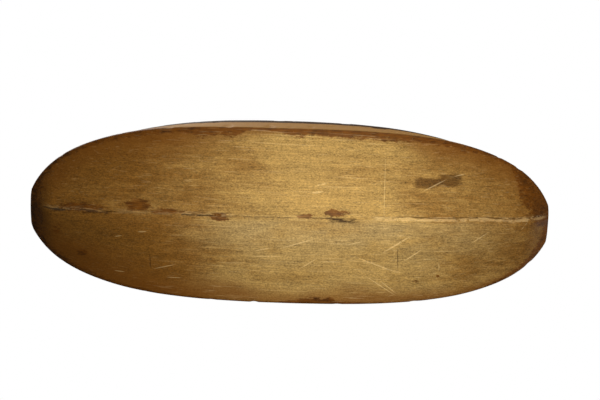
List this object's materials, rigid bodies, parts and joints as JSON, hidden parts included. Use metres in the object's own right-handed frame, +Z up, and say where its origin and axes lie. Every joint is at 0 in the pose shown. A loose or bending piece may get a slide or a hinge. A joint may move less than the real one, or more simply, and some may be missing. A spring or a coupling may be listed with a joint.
{
  "type": "mancala board",
  "caption": "Hand-hewn boat-shaped mancala board with rows of round houses, end stores, a shallow keeled underside and loose seeds lying in the houses.",
  "frame": {"origin": "centre of the board's footprint, on the surface it stands on", "axes": "+X along the board, +Z up out of the houses, +Y across the board towards the far row"},
  "size_m": [0.54, 0.186, 0.058],
  "materials": {
    "board_wood": "hewn and worn hardwood, waxed by handling, with dark patina left along the edges",
    "seed_shell": "smooth hard grey-green seed shell with fine rings"
  },
  "bodies": {
    "board": {"board": "board_wood"},
    "seeds_near_house_1": {"seeds_near_house_1": "seed_shell"},
    "seeds_near_house_2": {"seeds_near_house_2": "seed_shell"},
    "seeds_near_house_3": {"seeds_near_house_3": "seed_shell"},
    "seeds_near_house_4": {"seeds_near_house_4": "seed_shell"},
    "seeds_near_house_5": {"seeds_near_house_5": "seed_shell"},
    "seeds_near_house_6": {"seeds_near_house_6": "seed_shell"},
    "seeds_far_house_1": {"seeds_far_house_1": "seed_shell"},
    "seeds_far_house_2": {"seeds_far_house_2": "seed_shell"},
    "seeds_far_house_3": {"seeds_far_house_3": "seed_shell"},
    "seeds_far_house_4": {"seeds_far_house_4": "seed_shell"},
    "seeds_far_house_5": {"seeds_far_house_5": "seed_shell"},
    "seeds_far_house_6": {"seeds_far_house_6": "seed_shell"}
  },
  "joints": [
    {"name": "lift_near_house_1", "type": "slide", "parent": "board", "child": "seeds_near_house_1", "axis": [0, 0, 1], "range_m": [0, 0.12]},
    {"name": "lift_near_house_2", "type": "slide", "parent": "board", "child": "seeds_near_house_2", "axis": [0, 0, 1], "range_m": [0, 0.12]},
    {"name": "lift_near_house_3", "type": "slide", "parent": "board", "child": "seeds_near_house_3", "axis": [0, 0, 1], "range_m": [0, 0.12]},
    {"name": "lift_near_house_4", "type": "slide", "parent": "board", "child": "seeds_near_house_4", "axis": [0, 0, 1], "range_m": [0, 0.12]},
    {"name": "lift_near_house_5", "type": "slide", "parent": "board", "child": "seeds_near_house_5", "axis": [0, 0, 1], "range_m": [0, 0.12]},
    {"name": "lift_near_house_6", "type": "slide", "parent": "board", "child": "seeds_near_house_6", "axis": [0, 0, 1], "range_m": [0, 0.12]},
    {"name": "lift_far_house_1", "type": "slide", "parent": "board", "child": "seeds_far_house_1", "axis": [0, 0, 1], "range_m": [0, 0.12]},
    {"name": "lift_far_house_2", "type": "slide", "parent": "board", "child": "seeds_far_house_2", "axis": [0, 0, 1], "range_m": [0, 0.12]},
    {"name": "lift_far_house_3", "type": "slide", "parent": "board", "child": "seeds_far_house_3", "axis": [0, 0, 1], "range_m": [0, 0.12]},
    {"name": "lift_far_house_4", "type": "slide", "parent": "board", "child": "seeds_far_house_4", "axis": [0, 0, 1], "range_m": [0, 0.12]},
    {"name": "lift_far_house_5", "type": "slide", "parent": "board", "child": "seeds_far_house_5", "axis": [0, 0, 1], "range_m": [0, 0.12]},
    {"name": "lift_far_house_6", "type": "slide", "parent": "board", "child": "seeds_far_house_6", "axis": [0, 0, 1], "range_m": [0, 0.12]}
  ]
}
